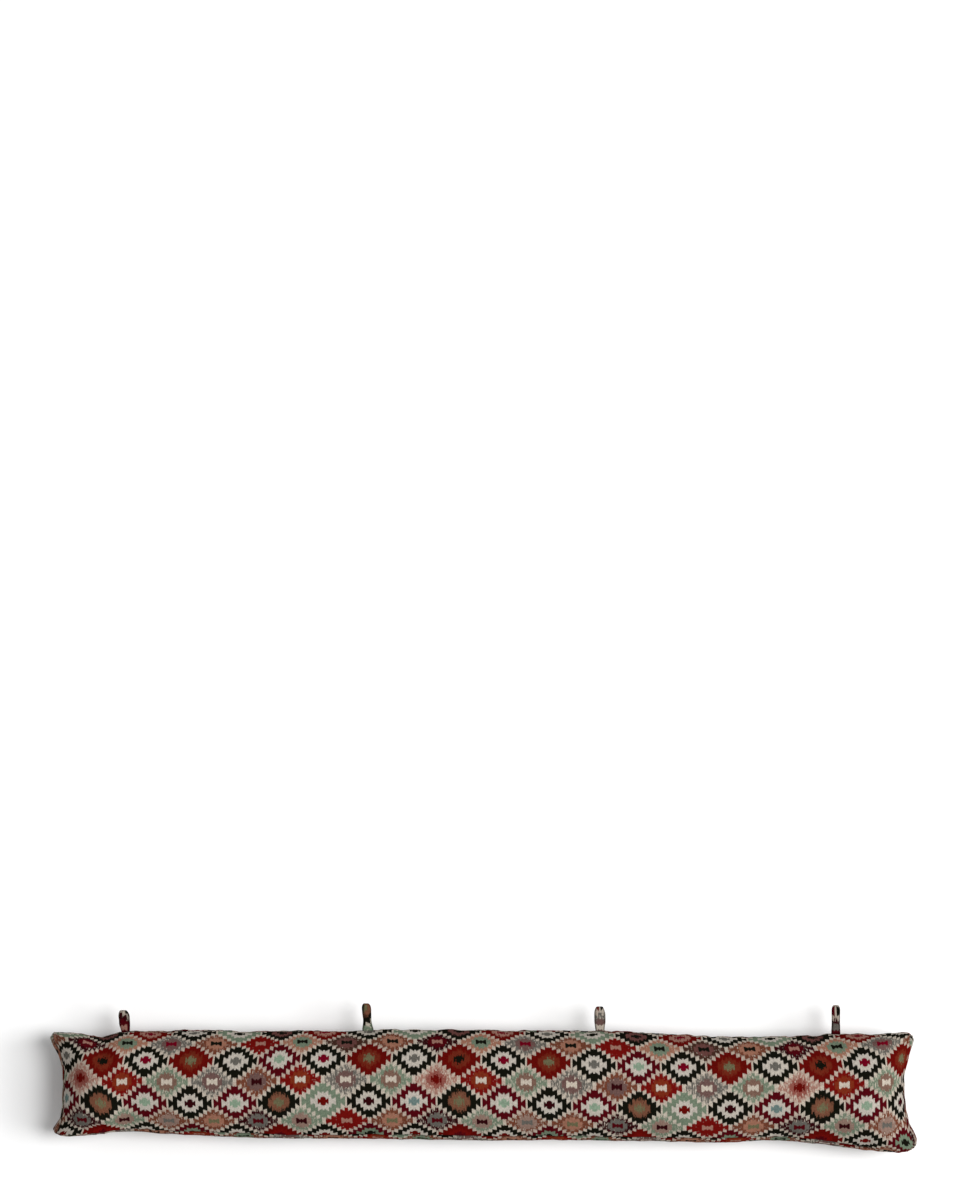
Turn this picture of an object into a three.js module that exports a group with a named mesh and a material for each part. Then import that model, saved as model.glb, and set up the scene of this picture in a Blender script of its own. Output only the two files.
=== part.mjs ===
// A draught excluder: one long stuffed cover that lies on its back, with four cloth
// hanging loops sewn along its top seam.
// Millimetres. X runs along the cover, Y points to the seam with the loops, Z is up,
// and the back rests on the plane Z = 0. The cover's own axis is at Y = 0 while it is
// built, and the whole group is moved at the end, so that the origin is under the
// middle of everything.
import * as THREE from "three";

// Cover
const HALF_LENGTH = 450; // middle to ear tips
const WIDEST_LEVEL = 50; // height of the widest outline above the floor
const CROWN = 55; // front above the widest level
const KEEL = 57; // back below the widest level, before the floor flattens it
const FLATTENING = 4; // how softly the back bends into its flat strip
const DOME = 47; // length over which the filling thins towards each end seam
const SQUARENESS = 0.5; // how much the section squares up at the ends
const SQUARE_REACH = 75; // how far from the ends it does so
const COLUMNS_IN_DOME = 8;
const COLUMNS_BETWEEN = 74;
const ROWS_ACROSS = 24;

// The outline seen from above: the top and bottom edges at places along the cover.
const EDGES = [
  { x: -450, top: 55.8, bottom: -51.7 },
  { x: -437, top: 56.1, bottom: -51.7 },
  { x: -423, top: 55.1, bottom: -52.0 },
  { x: -408, top: 52.2, bottom: -50.5 },
  { x: -397, top: 51.0, bottom: -49.4 },
  { x: -382, top: 54.6, bottom: -47.8 },
  { x: -366, top: 56.9, bottom: -46.8 },
  { x: -350, top: 56.5, bottom: -47.1 },
  { x: -335, top: 56.2, bottom: -48.8 },
  { x: -293, top: 57.5, bottom: -51.5 },
  { x: -250, top: 56.2, bottom: -53.0 },
  { x: -190, top: 56.2, bottom: -54.1 },
  { x: -148, top: 55.4, bottom: -55.1 },
  { x: -86, top: 58.1, bottom: -56.1 },
  { x: -13, top: 58.1, bottom: -56.1 },
  { x: 70, top: 57.2, bottom: -55.6 },
  { x: 143, top: 56.1, bottom: -57.0 },
  { x: 216, top: 53.0, bottom: -57.2 },
  { x: 258, top: 52.0, bottom: -56.9 },
  { x: 291, top: 51.2, bottom: -55.8 },
  { x: 330, top: 52.1, bottom: -58.3 },
  { x: 372, top: 55.0, bottom: -62.5 },
  { x: 413, top: 55.1, bottom: -66.5 },
  { x: 431, top: 55.9, bottom: -67.5 },
  { x: 450, top: 56.0, bottom: -66.4 },
];

// How far each end seam is drawn in from the ear tips: across is -1 at the bottom
// edge and 1 at the top edge.
const ENDS = [
  { across: -1.0, left: 4.5, right: 0.0 },
  { across: -0.8, left: 10.1, right: 4.4 },
  { across: -0.6, left: 12.9, right: 8.0 },
  { across: -0.3, left: 13.8, right: 10.0 },
  { across: 0.0, left: 14.6, right: 11.5 },
  { across: 0.3, left: 13.6, right: 10.8 },
  { across: 0.6, left: 9.1, right: 7.3 },
  { across: 0.8, left: 3.8, right: 4.4 },
  { across: 1.0, left: 0.0, right: 1.3 },
];

// Radii of the four rounded ears, seen from above.
const EAR_RADIUS = { leftTop: 4, leftBottom: 7, rightTop: 7, rightBottom: 11 };

// Folds pressed into the front: each sinks along a line between two points.
const FOLDS = [
  { x0: -441, y0: 45, x1: -402, y1: 33, width: 7, depth: 3.0 },
  { x0: -397, y0: 49, x1: -392, y1: 33, width: 9, depth: 4.5 },
  { x0: -438, y0: -42, x1: -397, y1: -39, width: 5, depth: 4.0 },
  { x0: -368, y0: -45, x1: -362, y1: -25, width: 13, depth: 4.0 },
  { x0: 291, y0: -54, x1: 296, y1: -34, width: 13, depth: 3.0 },
  { x0: 438, y0: 46, x1: 411, y1: 34, width: 7, depth: 2.5 },
  { x0: 438, y0: -55, x1: 409, y1: -41, width: 8, depth: 2.5 },
];

// Loops
const STRIP = 2.4; // thickness of the folded strip
const LOOP_DEPTH = 14; // across the two legs, outside to outside
const BIGHT_HEIGHT = 5; // height of the rounded top of a loop
const BEARING = 3; // flat inside the top of a loop, where a hook bears
const BAR_TACK = 6; // legs stitched together for this far above the seam
const LOOP_RISE = 6; // middle of the loops above the widest level
const SEWN_GAP = 0.35; // between a loop and the cover
const EDGE_ROUND = 0.8; // rounding of the strip's long edges

const LOOPS = [
  { name: "loop_1", x: -370.8, top: 78.4, width: 11.0, base: 9.0, lean: -2.8, twist: 0 },
  { name: "loop_2", x: -120.2, top: 85.5, width: 8.2, base: 11.0, lean: -0.9, twist: 12 },
  { name: "loop_3", x: 122.4, top: 82.3, width: 11.2, base: 8.8, lean: -0.5, twist: 0 },
  { name: "loop_4", x: 367.6, top: 83.7, width: 8.4, base: 9.2, lean: 0.2, twist: -9 },
];

const coverCloth = new THREE.MeshStandardMaterial({ color: 0x8a6d62, roughness: 0.92, metalness: 0 });
const loopCloth = new THREE.MeshStandardMaterial({ color: 0x57403e, roughness: 0.92, metalness: 0 });

// A column of a table at any value of its key, as a smooth curve through the rows.
function column(table, key, name, value) {
  const last = table.length - 2;
  let row = table.findIndex((entry) => entry[key] > value) - 1;
  if (row < 0) row = value < table[0][key] ? 0 : last;
  const slopeAt = (index) => {
    const before = table[Math.max(index - 1, 0)];
    const after = table[Math.min(index + 1, last + 1)];
    return (after[name] - before[name]) / (after[key] - before[key]);
  };
  const span = table[row + 1][key] - table[row][key];
  const s = Math.min(Math.max((value - table[row][key]) / span, 0), 1);
  const rise = s * s * (3 - 2 * s);
  const level = table[row][name] * (1 - rise) + table[row + 1][name] * rise;
  const leaving = slopeAt(row) * span * s * (1 - s) * (1 - s);
  const arriving = slopeAt(row + 1) * span * s * s * (1 - s);
  return level + leaving - arriving;
}

// How far a round corner of this radius pulls an edge in, at a distance from its tip.
function cornerPull(distance, radius) {
  const short = Math.max(radius - distance, 0);
  return radius - Math.sqrt(radius * radius - short * short);
}

function smoothMin(a, b, softness) {
  const overlap = Math.max(softness - Math.abs(a - b), 0) / softness;
  return Math.min(a, b) - (overlap * overlap * softness) / 4;
}

// Depth of all folds together at a point of the front.
function foldDepth(x, y) {
  return FOLDS.reduce((sum, fold) => {
    const along = new THREE.Vector2(fold.x1 - fold.x0, fold.y1 - fold.y0);
    const offset = new THREE.Vector2(x - fold.x0, y - fold.y0);
    const share = offset.dot(along) / along.lengthSq();
    const nearest = along.clone().multiplyScalar(Math.min(Math.max(share, 0), 1));
    const away = offset.sub(nearest).length() / fold.width;
    return sum + fold.depth * Math.exp(-away * away);
  }, 0);
}

// Distances from the left end to each column of points, closer together in the domes.
function columnDistances() {
  const whole = 2 * HALF_LENGTH;
  const dome = [];
  for (let i = 0; i < COLUMNS_IN_DOME; i += 1) {
    dome.push(DOME * (1 - Math.cos((i / COLUMNS_IN_DOME) * (Math.PI / 2))));
  }
  const between = [];
  for (let i = 0; i <= COLUMNS_BETWEEN; i += 1) {
    between.push(DOME + (i / COLUMNS_BETWEEN) * (whole - 2 * DOME));
  }
  const mirrored = dome.map((distance) => whole - distance).reverse();
  return [...dome, ...between, ...mirrored];
}

// Place of the outline's point: distance from the left end, and across from -1 to 1.
function plan(distance, across) {
  const share = distance / (2 * HALF_LENGTH);
  const rowX = (side) => {
    const left = -HALF_LENGTH + column(ENDS, "across", "left", side);
    const right = HALF_LENGTH - column(ENDS, "across", "right", side);
    const length = right - left;
    return { x: left + share * length, fromLeft: share * length, fromRight: (1 - share) * length };
  };
  const topRow = rowX(1);
  const bottomRow = rowX(-1);
  const top =
    column(EDGES, "x", "top", topRow.x) -
    cornerPull(topRow.fromLeft, EAR_RADIUS.leftTop) -
    cornerPull(topRow.fromRight, EAR_RADIUS.rightTop);
  const bottom =
    column(EDGES, "x", "bottom", bottomRow.x) +
    cornerPull(bottomRow.fromLeft, EAR_RADIUS.leftBottom) +
    cornerPull(bottomRow.fromRight, EAR_RADIUS.rightBottom);
  return { x: rowX(across).x, y: (top + bottom) / 2 + (across * (top - bottom)) / 2 };
}

// Height of the front and of the back at one point of the grid, with angle from
// -90 degrees at the bottom edge to 90 degrees at the top edge.
function coverPoint(distance, angle) {
  const { x, y } = plan(distance, Math.sin(angle));
  const fromEnd = Math.min(distance, 2 * HALF_LENGTH - distance);
  const thinning = 1 - Math.min(fromEnd / DOME, 1);
  const square = SQUARENESS * Math.exp(-((fromEnd / SQUARE_REACH) ** 2));
  const section = Math.cos(angle) * (1 + square * Math.sin(angle) ** 2);
  const fullness = Math.max(section, 0) * Math.sqrt(1 - thinning * thinning);
  const sunk = foldDepth(x, y) * Math.min(2 * fullness, 1) ** 2;
  const front = WIDEST_LEVEL + Math.max(CROWN * fullness - sunk, (CROWN * fullness) / 2);
  const back = Math.max(WIDEST_LEVEL - smoothMin(KEEL * fullness, WIDEST_LEVEL, FLATTENING), 0);
  return { front: [x, y, front], back: [x, y, back] };
}

// One closed skin: a front sheet and a back sheet that share their outline.
function coverGeometry() {
  const distances = columnDistances();
  const lastColumn = distances.length - 1;
  const positions = [];
  const frontIndex = [];
  const backIndex = [];
  const addPoint = (point) => positions.push(...point) / 3 - 1;
  distances.forEach((distance, i) => {
    frontIndex.push([]);
    backIndex.push([]);
    for (let j = 0; j <= ROWS_ACROSS; j += 1) {
      const point = coverPoint(distance, (j / ROWS_ACROSS - 0.5) * Math.PI);
      const onOutline = i === 0 || i === lastColumn || j === 0 || j === ROWS_ACROSS;
      if (onOutline) point.front[2] = WIDEST_LEVEL;
      frontIndex[i].push(addPoint(point.front));
      backIndex[i].push(onOutline ? frontIndex[i][j] : addPoint(point.back));
    }
  });
  const triangles = [];
  for (let i = 0; i < lastColumn; i += 1) {
    for (let j = 0; j < ROWS_ACROSS; j += 1) {
      // Each quad is split along the diagonal that points to the nearest ear.
      const rising = i < lastColumn / 2 === j < ROWS_ACROSS / 2;
      for (const [sheet, facesUp] of [[frontIndex, true], [backIndex, false]]) {
        const quad = [sheet[i][j], sheet[i + 1][j], sheet[i + 1][j + 1], sheet[i][j + 1]];
        const [a, b, c, d] = rising ? quad : [quad[1], quad[2], quad[3], quad[0]];
        triangles.push(...(facesUp ? [a, b, c, a, c, d] : [a, c, b, a, d, c]));
      }
    }
  }
  const geometry = new THREE.BufferGeometry();
  geometry.setAttribute("position", new THREE.Float32BufferAttribute(positions, 3));
  geometry.setIndex(triangles);
  geometry.computeVertexNormals();
  return geometry;
}

// A loop seen along the cover: two legs stitched together above the seam, open above
// that, with a flat bearing inside the top.
function loopProfile(length) {
  const half = LOOP_DEPTH / 2;
  const shoulder = length - BIGHT_HEIGHT;
  const outline = new THREE.Shape();
  outline.moveTo(STRIP, 0);
  outline.bezierCurveTo(STRIP, BAR_TACK, half, shoulder - BIGHT_HEIGHT, half, shoulder);
  outline.absellipse(0, shoulder, half, BIGHT_HEIGHT, 0, Math.PI, false);
  outline.bezierCurveTo(-half, shoulder - BIGHT_HEIGHT, -STRIP, BAR_TACK, -STRIP, 0);
  outline.closePath();

  const inner = half - STRIP;
  const bend = inner - BEARING / 2;
  const innerTop = BIGHT_HEIGHT - STRIP;
  const opening = new THREE.Path();
  opening.moveTo(0, BAR_TACK);
  opening.bezierCurveTo(-1, BAR_TACK + 2, -inner, shoulder - BIGHT_HEIGHT, -inner, shoulder);
  opening.absellipse(-BEARING / 2, shoulder, bend, innerTop, Math.PI, Math.PI / 2, true);
  opening.lineTo(BEARING / 2, shoulder + innerTop);
  opening.absellipse(BEARING / 2, shoulder, bend, innerTop, Math.PI / 2, 0, true);
  opening.bezierCurveTo(inner, shoulder - BIGHT_HEIGHT, 1, BAR_TACK + 2, 0, BAR_TACK);
  outline.holes.push(opening);
  return outline;
}

// The profile is made as thick as the strip is wide, then narrowed or widened at its
// base, twisted about its length, leaned, and seated along the cover's edge.
function loopGeometry({ x, top, width, base, lean, twist }) {
  const edge = (place) => column(EDGES, "x", "top", place) + SEWN_GAP;
  const length = top - edge(x);
  const geometry = new THREE.ExtrudeGeometry(loopProfile(length), {
    depth: width - 2 * EDGE_ROUND,
    curveSegments: 7,
    bevelSize: EDGE_ROUND,
    bevelOffset: -EDGE_ROUND,
    bevelThickness: EDGE_ROUND,
    bevelSegments: 2,
  });
  geometry.translate(0, 0, -(width - 2 * EDGE_ROUND) / 2);
  geometry.rotateY(-Math.PI / 2);
  const position = geometry.getAttribute("position");
  const point = new THREE.Vector3();
  const upright = new THREE.Vector3(0, 1, 0);
  for (let i = 0; i < position.count; i += 1) {
    point.fromBufferAttribute(position, i);
    const height = point.y / length;
    const spread = THREE.MathUtils.smoothstep(height, 0, 0.45);
    point.x *= THREE.MathUtils.lerp(base / width, 1, spread);
    const seating = (1 - spread) * (edge(x + point.x) - edge(x));
    point.applyAxisAngle(upright, THREE.MathUtils.degToRad(twist) * height);
    point.x += x + lean * height;
    point.y += edge(x) + seating;
    point.z += WIDEST_LEVEL + LOOP_RISE;
    position.setXYZ(i, point.x, point.y, point.z);
  }
  geometry.computeVertexNormals();
  return geometry;
}

const draughtExcluder = new THREE.Group();

const cover = new THREE.Mesh(coverGeometry(), coverCloth);
cover.name = "cover";
draughtExcluder.add(cover);

for (const size of LOOPS) {
  const loop = new THREE.Mesh(loopGeometry(size), loopCloth.clone());
  loop.name = size.name;
  draughtExcluder.add(loop);
}

const bounds = new THREE.Box3().setFromObject(draughtExcluder);
const middle = bounds.getCenter(new THREE.Vector3());
draughtExcluder.position.set(-middle.x, -middle.y, -bounds.min.z);

export default draughtExcluder;
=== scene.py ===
"""The looks of a draught excluder: a long stuffed cover in a kilim weave, with four hanging loops.

Everything is in metres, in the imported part's own frame: X runs along the cover, Y points to the
seam that holds the loops, and Z is up out of the face. Tables of places are in millimetres.
"""

import math

import bpy
import numpy as np
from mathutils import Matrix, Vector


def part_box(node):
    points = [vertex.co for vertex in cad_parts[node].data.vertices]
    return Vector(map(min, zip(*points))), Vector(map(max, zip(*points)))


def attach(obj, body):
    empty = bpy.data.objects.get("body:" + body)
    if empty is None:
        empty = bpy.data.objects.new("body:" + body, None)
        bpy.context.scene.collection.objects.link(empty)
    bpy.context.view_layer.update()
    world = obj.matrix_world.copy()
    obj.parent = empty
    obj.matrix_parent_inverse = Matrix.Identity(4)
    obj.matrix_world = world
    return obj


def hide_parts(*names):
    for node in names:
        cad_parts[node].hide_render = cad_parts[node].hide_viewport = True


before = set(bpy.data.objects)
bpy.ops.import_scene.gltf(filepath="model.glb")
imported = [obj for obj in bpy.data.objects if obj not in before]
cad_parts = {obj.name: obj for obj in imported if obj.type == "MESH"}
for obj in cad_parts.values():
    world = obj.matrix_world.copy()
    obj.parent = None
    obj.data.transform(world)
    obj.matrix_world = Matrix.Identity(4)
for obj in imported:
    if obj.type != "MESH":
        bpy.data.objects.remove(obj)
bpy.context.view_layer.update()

bl_info = {
    "name": "Draught excluder",
    "version": (1, 0, 0),
    "blender": (4, 5, 0),
    "location": "View3D > Sidebar > Draught excluder",
    "description": "Makes a stuffed draught excluder in kilim cloth, its hanging loops and a studio",
    "category": "Add Mesh",
}

MM = 0.001
LIFT = 0.05  # height of the widest outline above the floor
LENGTH = 900  # of the cover in millimetres, from ear tip to ear tip

# The outline seen from above: the top and bottom edges at places along the cover.
EDGES = [
    {"x": -450, "top": 55.8, "bottom": -51.7},
    {"x": -437, "top": 56.1, "bottom": -51.7},
    {"x": -423, "top": 55.1, "bottom": -52.0},
    {"x": -408, "top": 52.2, "bottom": -50.5},
    {"x": -397, "top": 51.0, "bottom": -49.4},
    {"x": -382, "top": 54.6, "bottom": -47.8},
    {"x": -366, "top": 56.9, "bottom": -46.8},
    {"x": -350, "top": 56.5, "bottom": -47.1},
    {"x": -335, "top": 56.2, "bottom": -48.8},
    {"x": -293, "top": 57.5, "bottom": -51.5},
    {"x": -250, "top": 56.2, "bottom": -53.0},
    {"x": -190, "top": 56.2, "bottom": -54.1},
    {"x": -148, "top": 55.4, "bottom": -55.1},
    {"x": -86, "top": 58.1, "bottom": -56.1},
    {"x": -13, "top": 58.1, "bottom": -56.1},
    {"x": 70, "top": 57.2, "bottom": -55.6},
    {"x": 143, "top": 56.1, "bottom": -57.0},
    {"x": 216, "top": 53.0, "bottom": -57.2},
    {"x": 258, "top": 52.0, "bottom": -56.9},
    {"x": 291, "top": 51.2, "bottom": -55.8},
    {"x": 330, "top": 52.1, "bottom": -58.3},
    {"x": 372, "top": 55.0, "bottom": -62.5},
    {"x": 413, "top": 55.1, "bottom": -66.5},
    {"x": 431, "top": 55.9, "bottom": -67.5},
    {"x": 450, "top": 56.0, "bottom": -66.4},
]

# How far each end seam is drawn in from the ear tips: across is -1 at the bottom edge and 1 at
# the top edge.
ENDS = [
    {"across": -1.0, "left": 4.5, "right": 0.0},
    {"across": -0.8, "left": 10.1, "right": 4.4},
    {"across": -0.6, "left": 12.9, "right": 8.0},
    {"across": -0.3, "left": 13.8, "right": 10.0},
    {"across": 0.0, "left": 14.6, "right": 11.5},
    {"across": 0.3, "left": 13.6, "right": 10.8},
    {"across": 0.6, "left": 9.1, "right": 7.3},
    {"across": 0.8, "left": 3.8, "right": 4.4},
    {"across": 1.0, "left": 0.0, "right": 1.3},
]

# Radii of the four rounded ears, and where their tips lie, seen from above.
EAR_RADIUS = {"left_top": 7, "left_bottom": 8, "right_top": 9, "right_bottom": 12}
EAR_TIPS = [(-448, 54), (-446, -48), (446, 54), (448, -62)]

DOME_CLOTH = 80.0  # length of the cloth over the dome at an end
SQUARE_REACH = 75  # how far from an end the section is squared up
SECTION_RADIUS = 56.0  # mean radius of the stuffed section
FLOOR_BLEND = 4  # how softly the floor cuts off the back
RESTING_HEIGHT = 6  # the relief fades out between this height and the floor

# Quads of each sheet along and round the cover, how much closer together they lie at the seams,
# and the half width of those places, in millimetres along and in radians round.
ALONG_GRID = {"count": 430, "gain": 2.0, "width": 5.0}
ROUND_GRID = {"count": 110, "gain": 2.5, "width": math.radians(8)}

# The share of their turn from the rim that the long seams lose towards the ends, and how far from
# an end they do so.
SEAM_DROP = {"share": 0.55, "reach": 90}
SEAM_TOLERANCE = 0.02  # a point this little above the seam still counts as below it

# Relief beside the seam: the groove's half width, the ridge beside it, where the puckers start and
# how far they reach, how much higher they are at the ears, and where a loop fills the groove.
SEAM_RELIEF = {
    "groove": 1.5, "ridge": 0.25, "ridge_place": 5, "ridge_width": 4, "pucker_start": 2.5,
    "pucker_reach": 16, "ear_gain": 0.3, "ear_reach": 45, "loop_reach": 8,
}

# Two sets of puckers: how far apart they lie, how they slant away from the seam, and how high
# they are beside the first.
PUCKERS = [
    {"spacing": 9.0, "slant": 0.25, "share": 1.0, "seed": 3},
    {"spacing": 4.5, "slant": -0.2, "share": 0.6, "seed": 8},
]

# Two sizes of lumps in the filling.
LUMPS = [
    {"size": 95.0, "share": 1.0, "seed": 5},
    {"size": 34.0, "share": 0.35, "seed": 6},
]

# How far apart the puckers of the ends and of the two long edges are read, so that none match.
APART = {"ends": 3000, "edges": 300}

# Folds pressed into the front: each sinks along a line between two points.
FOLDS = [
    {"x0": -441, "y0": 45, "x1": -402, "y1": 33, "width": 7, "depth": 3.0},
    {"x0": -397, "y0": 49, "x1": -392, "y1": 33, "width": 9, "depth": 4.5},
    {"x0": -443, "y0": -46, "x1": -392, "y1": -42, "width": 4, "depth": 6.0},
    {"x0": -441, "y0": -38, "x1": -404, "y1": -34, "width": 4, "depth": 3.5},
    {"x0": -368, "y0": -45, "x1": -362, "y1": -25, "width": 13, "depth": 4.0},
    {"x0": 291, "y0": -54, "x1": 296, "y1": -34, "width": 13, "depth": 3.0},
    {"x0": 438, "y0": 46, "x1": 411, "y1": 34, "width": 7, "depth": 2.5},
    {"x0": 438, "y0": -55, "x1": 409, "y1": -41, "width": 8, "depth": 2.5},
]

# How far the row of small diamonds in the middle lies above the middle of the face, how far the
# weave is drawn to the left of an even run, and how far its top row lies to the right of that.
PATTERN_DRIFT = [
    {"x": -450, "up": 9.6, "left": 0.0, "top_right": 0.0},
    {"x": -420, "up": 9.0, "left": 0.0, "top_right": 0.0},
    {"x": -400, "up": 6.6, "left": 0.0, "top_right": 0.0},
    {"x": -380, "up": 3.4, "left": 0.6, "top_right": 2.0},
    {"x": -350, "up": 1.9, "left": 1.2, "top_right": 5.0},
    {"x": -296, "up": 3.1, "left": 0.5, "top_right": 4.0},
    {"x": -242, "up": 4.2, "left": 0.8, "top_right": 5.0},
    {"x": -188, "up": 7.3, "left": 2.6, "top_right": 3.0},
    {"x": -133, "up": 8.6, "left": 2.1, "top_right": 2.0},
    {"x": -79, "up": 7.7, "left": 1.8, "top_right": 3.0},
    {"x": -25, "up": 7.3, "left": 1.8, "top_right": 2.0},
    {"x": 29, "up": 5.5, "left": 2.0, "top_right": 1.0},
    {"x": 83, "up": 3.1, "left": 1.6, "top_right": 1.0},
    {"x": 137, "up": 1.2, "left": 1.4, "top_right": 1.0},
    {"x": 191, "up": 1.2, "left": 2.0, "top_right": 0.0},
    {"x": 245, "up": 1.8, "left": 1.2, "top_right": -1.0},
    {"x": 299, "up": 2.2, "left": -0.3, "top_right": -1.0},
    {"x": 353, "up": 5.4, "left": -1.3, "top_right": -5.0},
    {"x": 407, "up": 10.9, "left": 0.0, "top_right": -2.0},
    {"x": 430, "up": 13.0, "left": 0.0, "top_right": 0.0},
    {"x": 450, "up": 13.5, "left": 0.0, "top_right": 0.0},
]

# Where the cloth is gathered at the upper left ear, how far it slips along the cover, and the
# size of that place along and across.
SLIP = {"x": -412, "y": 48, "shift": 9.0, "along": 38, "across": 20}

TOP_ROW = {"start": 10, "full": 42}  # where the weave starts to follow its top row, and does so fully
BACK_PHASE = (17.0, 9.0)  # how far the back panel's weave is out of step

# The loops: place and reach of each, its width at the top and at the foot, how far its foot is
# sunk into the seam, how far its top leans over, by how many degrees it is twisted, and the column
# and row of the pattern at its foot.
LOOPS = [
    {
        "name": "loop_1", "x": -370.8, "top": 78.4, "width": 11.0, "base": 9.0, "sunk": 1.2,
        "lean": -2.8, "twist": 0, "column": 7.56, "row": -0.38,
    },
    {
        "name": "loop_2", "x": -118.8, "top": 85.5, "width": 8.2, "base": 12.4, "sunk": 1.2,
        "lean": -2.3, "twist": 12, "column": 4.12, "row": 1.58,
    },
    {
        "name": "loop_3", "x": 122.4, "top": 82.3, "width": 11.2, "base": 8.8, "sunk": 1.2,
        "lean": -0.5, "twist": 0, "column": 2.5, "row": 0.62,
    },
    {
        "name": "loop_4", "x": 367.6, "top": 83.7, "width": 8.4, "base": 9.2, "sunk": 1.8,
        "lean": 0.2, "twist": -9, "column": 3.5, "row": 1.55,
    },
]

# The strip of a loop: stations along a leg or round the top, points round its section, the powers
# that square up its edges and faces, and how flat the lapped edge lies.
STRIP = {"stations": 23, "sides": 29, "edge_power": 0.45, "face_power": 0.7, "lap": 0.9}
LEG_GAP = 0.1  # between the two legs at the foot
SPREAD = 0.45  # share of its height over which a loop spreads to its foot

# How long a loop's rounded tip is and how narrow it gets, as shares of the width, how much its
# sides waver, and where the loop gets painted shade: from a share of the half width on, beside
# the foot and a little all over.
TIP = {"reach": 0.7, "least": 0.2}
WAVER = {"share": 0.05, "spacing": 6.0, "apart": 40}
LOOP_SHADE = {"edge": 0.55, "edge_width": 0.4, "foot": 2.5, "least": 0.12}

CLOTH_NAME = "kilim_cover"

# The dyes of the yarn, as linear red, green and blue.
DYES = {
    "cream": (0.398, 0.347, 0.287),
    "white": (0.372, 0.337, 0.292),
    "soot": (0.005, 0.005, 0.003),
    "oxblood": (0.056, 0.002, 0.004),
    "red": (0.088, 0.003, 0.002),
    "rust": (0.112, 0.015, 0.007),
    "scarlet": (0.118, 0.004, 0.003),
    "flame": (0.140, 0.019, 0.007),
    "madder": (0.185, 0.058, 0.045),
    "raspberry": (0.110, 0.001, 0.008),
    "plum": (0.022, 0.002, 0.003),
    "moss": (0.105, 0.095, 0.050),
    "mint": (0.170, 0.232, 0.166),
    "sage": (0.118, 0.150, 0.104),
    "teal": (0.105, 0.152, 0.142),
    "ash": (0.095, 0.088, 0.076),
    "mauve": (0.105, 0.059, 0.052),
    "rosewood": (0.100, 0.040, 0.035),
    "rose": (0.136, 0.078, 0.058),
    "pink": (0.245, 0.125, 0.096),
    "dusk": (0.195, 0.126, 0.100),
    "terracotta": (0.115, 0.036, 0.020),
    "clay": (0.130, 0.052, 0.030),
    "peach": (0.240, 0.110, 0.072),
    "brown": (0.043, 0.018, 0.012),
}

# The large diamonds: ring, field and heart of each, along a row. Rows go down the face.
LARGE_ROWS = [
    [
        ("red", "rust", "soot"),
        ("soot", "white", "raspberry"),
        ("red", "rust", "moss"),
        ("soot", "white", "ash"),
        ("oxblood", "white", "mint"),
        ("soot", "white", "raspberry"),
        ("red", "rust", "moss"),
        ("soot", "white", "ash"),
    ],
    [
        ("soot", "clay", "moss"),
        ("oxblood", "white", "mint"),
        ("soot", "white", "plum"),
        ("oxblood", "white", "mint"),
        ("soot", "clay", "moss"),
        ("sage", "white", "red"),
        ("soot", "white", "plum"),
        ("oxblood", "white", "teal"),
    ],
    2 * [
        ("red", "scarlet", "oxblood"),
        ("soot", "white", "red"),
        ("oxblood", "sage", "soot"),
        ("soot", "white", "red"),
    ],
    2 * [
        ("soot", "rosewood", "soot"),
        ("red", "pink", "raspberry"),
        ("soot", "white", "ash"),
        ("sage", "white", "soot"),
    ],
]

# The small diamonds between them, the same way. Each row lies below the large row of its place,
# and each column to the left of it. The last entry is how far the yarns are blended with cream.
SMALL_ROWS = [
    [
        ("pink", "madder", "red", 0.7),
        ("scarlet", "flame", "cream", 0.0),
        ("sage", "rose", "cream", 0.5),
        ("ash", "mauve", "cream", 0.6),
        ("terracotta", "mauve", "plum", 0.3),
        ("scarlet", "flame", "cream", 0.0),
        ("ash", "mauve", "cream", 0.6),
        ("sage", "rose", "cream", 0.5),
    ],
    [
        ("plum", "ash", "oxblood", 0.4),
        ("sage", "dusk", "plum", 0.5),
        ("terracotta", "dusk", "ash", 0.5),
        ("terracotta", "peach", "moss", 0.2),
        ("plum", "ash", "oxblood", 0.4),
        ("sage", "dusk", "plum", 0.5),
        ("scarlet", "scarlet", "pink", 0.0),
        ("terracotta", "peach", "moss", 0.2),
    ],
    2 * [
        ("terracotta", "sage", "soot", 0.3),
        ("ash", "mauve", "cream", 0.6),
        ("terracotta", "peach", "soot", 0.3),
        ("scarlet", "flame", "pink", 0.0),
    ],
    [
        ("plum", "oxblood", "pink", 0.3),
        ("peach", "sage", "soot", 0.3),
        ("ash", "mauve", "raspberry", 0.5),
        ("terracotta", "peach", "soot", 0.3),
        ("scarlet", "scarlet", "pink", 0.0),
        ("peach", "sage", "soot", 0.3),
        ("brown", "rosewood", "soot", 0.2),
        ("terracotta", "peach", "soot", 0.3),
    ],
]

# Half outlines of the diamonds, counted in stitches from the middle: across, then up. Each tooth
# rises slowly to its tip and falls back at once.
LARGE_RING = [
    (0, 20.8), (1.6, 20.0), (3.4, 21.8), (4.0, 16.6), (8.6, 18.8), (9.1, 12.2), (13.6, 14.2), (14.1, 7.8),
    (18.6, 9.4), (19.1, 2.2), (23.9, 6.2), (24.1, 0),
]
PLAIN_FIELD = [(0, 11.4), (2.4, 12.4), (3.1, 9.2), (7.4, 10.4), (8.1, 5.2), (12.0, 5.2), (12.6, 0)]
WINGED_FIELD = [
    (0, 12.0), (1.4, 9.2), (5.6, 12.0), (6.1, 6.8), (9.1, 8.0), (9.6, 2.0), (13.8, 4.6), (14.2, 0),
]
WIDE_FIELD = [
    (0, 12.2), (1.4, 9.6), (5.6, 12.2), (6.1, 7.0), (9.1, 8.2), (9.6, 1.2), (14.6, 5.2), (14.9, 0),
]
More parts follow.
